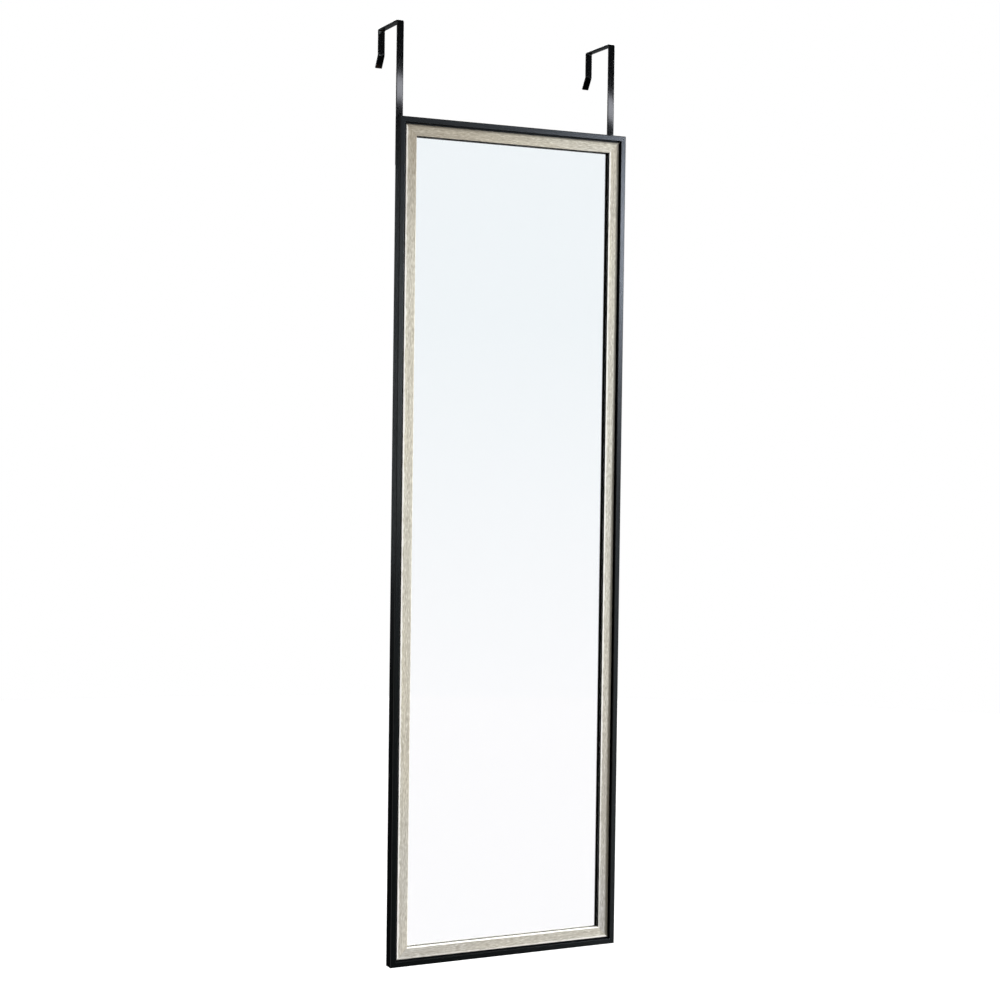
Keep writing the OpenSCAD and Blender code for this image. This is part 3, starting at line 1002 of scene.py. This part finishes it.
# %% Choose what each kind of ray meets
BLACK, WHITE = (0.0, 0.0, 0.0, 1.0), (1.0, 1.0, 1.0, 1.0)
MIRROR_TOP, MIRROR_LOW = (0.975, 0.994, 1.026, 1.0), (1.092, 1.059, 1.078, 1.0)
DIM, ASIDE = (0.02, 0.021, 0.022, 1.0), (0.62, 0.64, 0.65, 1.0)
BEHIND, REAR_RIGHT = (0.11, 0.115, 0.12, 1.0), (0.30, 0.31, 0.32, 1.0)


def far_aside(tree, x, y):
    """A mask for directions well to the left, or to the right and not behind."""
    not_behind = remap(tree, y, -0.1, 0.2, 1.0, 0.2)
    on_right = product(tree, remap(tree, x, 0.74, 0.92), not_behind)
    return maths(tree, "MAXIMUM", remap(tree, x, -0.68, -0.88), on_right)


def rear_right(tree, x, y):
    """A mask for directions between straight behind and straight to the right."""
    return product(tree, remap(tree, x, 0.5, 0.64), remap(tree, y, 0.45, 0.6))


def dim_studio(tree, x, y, z):
    """What the black pieces reflect in each direction."""
    behind = product(tree, remap(tree, y, -0.1, 0.3), remap(tree, x, -0.2, 0.2),
                     remap(tree, z, -0.22, -0.02, 0.75, 1.0))
    tone = mix_colours(tree, behind, DIM, BEHIND)
    tone = mix_colours(tree, far_aside(tree, x, y), tone, ASIDE)
    return mix_colours(tree, rear_right(tree, x, y), tone, REAR_RIGHT)


def soft_fill(tree, x, z):
    """The light that falls on a surface from each direction, strongest from high right."""
    from_right = remap(tree, x, -0.35, 0.45, 0.02, 0.32, smooth=True)
    from_above = remap(tree, z, -0.1, 0.5, 0.4, 1.1)
    return mix_colours(tree, product(tree, from_right, from_above), BLACK, WHITE)


def seen_in_mirror(tree, path):
    """A mask for rays that have been through the glass and have lit nothing yet."""
    lit_nothing = maths(tree, "LESS_THAN", path["Diffuse Depth"], 0.5)
    return product(tree, path["Is Transmission Ray"], lit_nothing)


print("the mirror shows", MIRROR_TOP[:3], "at the top and", MIRROR_LOW[:3], "low down")

# %% [markdown]
# ### The world
# The world's shader asks what kind of ray has reached it. The answers are put on each
# other from the least special to the most: fill, reflection, mirror, camera.

# %% Build the surroundings
def build_world():
    world = bpy.data.worlds.new("studio")
    bpy.context.scene.world = world
    world.use_nodes = True
    tree = world.node_tree
    direction = add(tree, "TexCoord").outputs["Generated"]
    x, y, z = add(tree, "SeparateXYZ", Vector=direction).outputs
    path = add(tree, "LightPath").outputs
    in_mirror = mix_colours(tree, remap(tree, z, -0.165, 0.065), MIRROR_LOW, MIRROR_TOP)
    fill, reflected = soft_fill(tree, x, z), dim_studio(tree, x, y, z)
    seen = mix_colours(tree, path["Is Glossy Ray"], fill, reflected)
    seen = mix_colours(tree, seen_in_mirror(tree, path), seen, in_mirror)
    seen = mix_colours(tree, path["Is Camera Ray"], seen, WHITE)
    feed(tree, tree.nodes["Background"].inputs["Color"], seen)
    return world


print("world:", build_world().name)


# %% [markdown]
# ## The floor
# The mirror hangs with its hooks at the height of a door's top, about two metres up, so
# the floor lies well below it. It is plain and pale. To the camera it glows just enough to
# reach white, and the object's shadow still shows on it. In the mirror it is as white as
# the surroundings. In the black pieces it carries on the dim studio, and it throws no
# light up at the frame.

# %% Make the floor's finish
FLOOR_GREY, FLOOR_GLOW = (0.4, 0.4, 0.4, 1.0), (0.62, 0.62, 0.62, 1.0)


def make_floor_finish():
    material = bpy.data.materials.new("studio_floor")
    material.use_nodes = True
    tree = material.node_tree
    shader = tree.nodes["Principled BSDF"]
    shader.inputs["Roughness"].default_value = 1.0
    shader.inputs["Specular IOR Level"].default_value = 0.0
    shader.inputs["Emission Strength"].default_value = 1.0
    path = add(tree, "LightPath").outputs
    in_mirror = seen_in_mirror(tree, path)
    indirect = maths(tree, "MAXIMUM", path["Is Glossy Ray"], in_mirror)
    indirect = maths(tree, "MAXIMUM", indirect, path["Is Diffuse Ray"])
    feed(tree, shader.inputs["Base Color"], mix_colours(tree, indirect, FLOOR_GREY, BLACK))
    place = add(tree, "TexCoord").outputs["Object"]
    outward = add(tree, "VectorMath", {"operation": "NORMALIZE"}, Vector=place).outputs[0]
    x, y, _ = add(tree, "SeparateXYZ", Vector=outward).outputs
    glow = mix_colours(tree, far_aside(tree, x, y), BLACK, ASIDE)
    glow = mix_colours(tree, rear_right(tree, x, y), glow, REAR_RIGHT)
    glow = mix_colours(tree, path["Is Diffuse Ray"], glow, BLACK)
    glow = mix_colours(tree, path["Is Camera Ray"], glow, FLOOR_GLOW)
    feed(tree, shader.inputs["Emission Color"], mix_colours(tree, in_mirror, glow, MIRROR_LOW))
    return material


print("the floor is", FLOOR_GREY[0], "grey and glows", FLOOR_GLOW[0], "to the camera")


# %% [markdown]
# ### Its shape
# A round floor has no corner that could show. Its rim can't be made out either, because to
# the camera the floor and the surroundings are equally white.

# %% Lay the floor
DOOR_HEIGHT = 2.03
FLOOR_RADIUS, FLOOR_SIDES = 8.0, 96


def lay_floor():
    shape = bmesh.new()
    bmesh.ops.create_circle(shape, cap_ends=True, radius=FLOOR_RADIUS, segments=FLOOR_SIDES)
    mesh = bpy.data.meshes.new("studio_floor")
    shape.to_mesh(mesh)
    shape.free()
    mesh.materials.append(make_floor_finish())
    floor = bpy.data.objects.new("studio_floor", mesh)
    floor.location.z = -DOOR_HEIGHT
    bpy.context.scene.collection.objects.link(floor)
    return floor


print("floor at", round(lay_floor().location.z, 2), "m")

# %% [markdown]
# ## Finish
# Colours are shown without a film look.

# %% Show colours without a film look
bpy.context.scene.view_settings.view_transform = "Standard"
